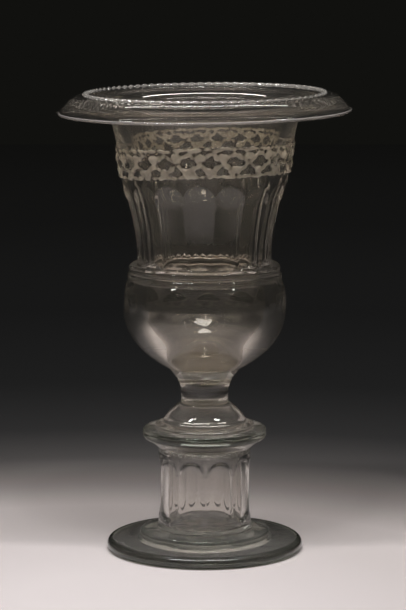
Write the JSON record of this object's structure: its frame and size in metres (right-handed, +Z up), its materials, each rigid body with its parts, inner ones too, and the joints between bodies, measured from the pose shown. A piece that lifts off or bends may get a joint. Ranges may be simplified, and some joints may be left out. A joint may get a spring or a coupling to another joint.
{
  "type": "campana vase",
  "caption": "Clear glass urn-shaped vase: fluted bell with a turned-over rim and trellis band, round lower bulb, solid stem, drip flange, fluted column and disc foot.",
  "frame": {"origin": "centre of the foot's underside, on the surface that the vase stands on", "axes": "+Z up along the vase's axis, -Y towards the viewer"},
  "size_m": [0.1744, 0.1744, 0.2773],
  "materials": {
    "clear_glass": "fire-polished, flutes ground and polished",
    "foot_glass": "fire-polished, thick, faint grey-green at the edges",
    "trail_glass": "fire-polished threads, pinched with pincers"
  },
  "bodies": {
    "root": {"foot_disc": "foot_glass", "foot_step": "foot_glass", "fluted_column": "clear_glass", "drip_flange": "foot_glass", "merese": "clear_glass", "stem_cone": "clear_glass", "stem_neck": "clear_glass", "bulb": "clear_glass", "bell": "clear_glass", "lower_collar_trail": "clear_glass", "upper_collar_trail": "clear_glass", "trellis_bottom_trail": "trail_glass", "trellis_top_trail": "trail_glass", "trellis_lower_zigzag": "trail_glass", "trellis_upper_zigzag": "trail_glass"}
  },
  "joints": []
}
